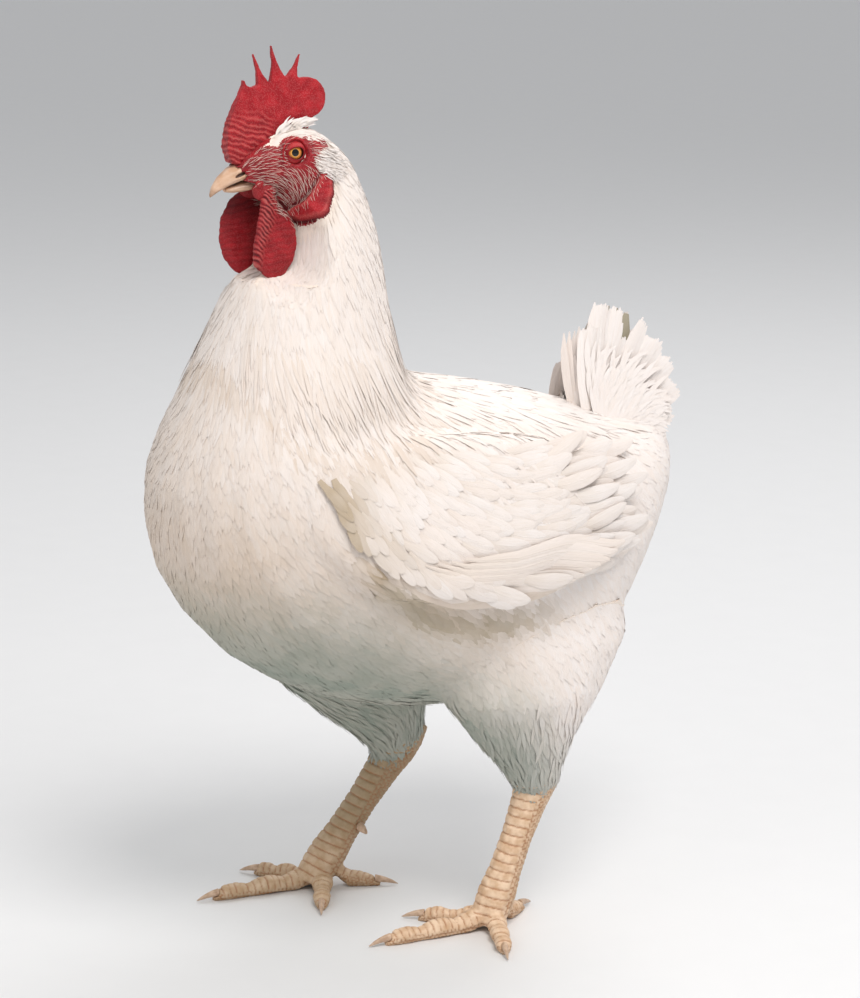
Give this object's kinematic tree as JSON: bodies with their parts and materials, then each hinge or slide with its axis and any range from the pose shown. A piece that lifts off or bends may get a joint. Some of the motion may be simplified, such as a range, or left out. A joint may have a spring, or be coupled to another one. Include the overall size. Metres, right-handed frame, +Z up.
{
  "type": "rooster",
  "caption": "Life-size standing white rooster of a heavy breed, still display model with red single comb and wattles, short fanned tail and scaled legs set apart in a step.",
  "frame": {"origin": "on the floor, under the centre of the whole bird's box", "axes": "+Z up, the bird faces -Y, its left side is +X"},
  "size_m": [0.2474, 0.3894, 0.6],
  "materials": {
    "plumage": "matte white feathers with a soft sheen",
    "red_skin": "satin, finely grained bare red skin",
    "horn": "satin horn",
    "claw": "satin horn",
    "leg_skin": "satin overlapping scales",
    "eye": "wet gloss"
  },
  "bodies": {
    "root": {"beak_lower": "horn", "beak_upper": "horn", "claw_hallux_left": "claw", "claw_hallux_right": "claw", "claw_inner_left": "claw", "claw_inner_right": "claw", "claw_middle_left": "claw", "claw_middle_right": "claw", "claw_outer_left": "claw", "claw_outer_right": "claw", "comb": "red_skin", "earlobe_left": "red_skin", "earlobe_right": "red_skin", "eye_left": "eye", "eye_right": "eye", "head": "plumage", "neck_lower": "plumage", "neck_upper": "plumage", "primaries_left": "plumage", "primaries_right": "plumage", "rump": "plumage", "shank_left": "leg_skin", "shank_right": "leg_skin", "spur_left": "claw", "spur_right": "claw", "tail_left": "plumage", "tail_right": "plumage", "thigh_left": "plumage", "thigh_right": "plumage", "toe_hallux_left": "leg_skin", "toe_hallux_right": "leg_skin", "toe_inner_left": "leg_skin", "toe_inner_right": "leg_skin", "toe_middle_left": "leg_skin", "toe_middle_right": "leg_skin", "toe_outer_left": "leg_skin", "toe_outer_right": "leg_skin", "trunk": "plumage", "wattle_left": "red_skin", "wattle_right": "red_skin", "wing_left": "plumage", "wing_right": "plumage"}
  },
  "joints": []
}
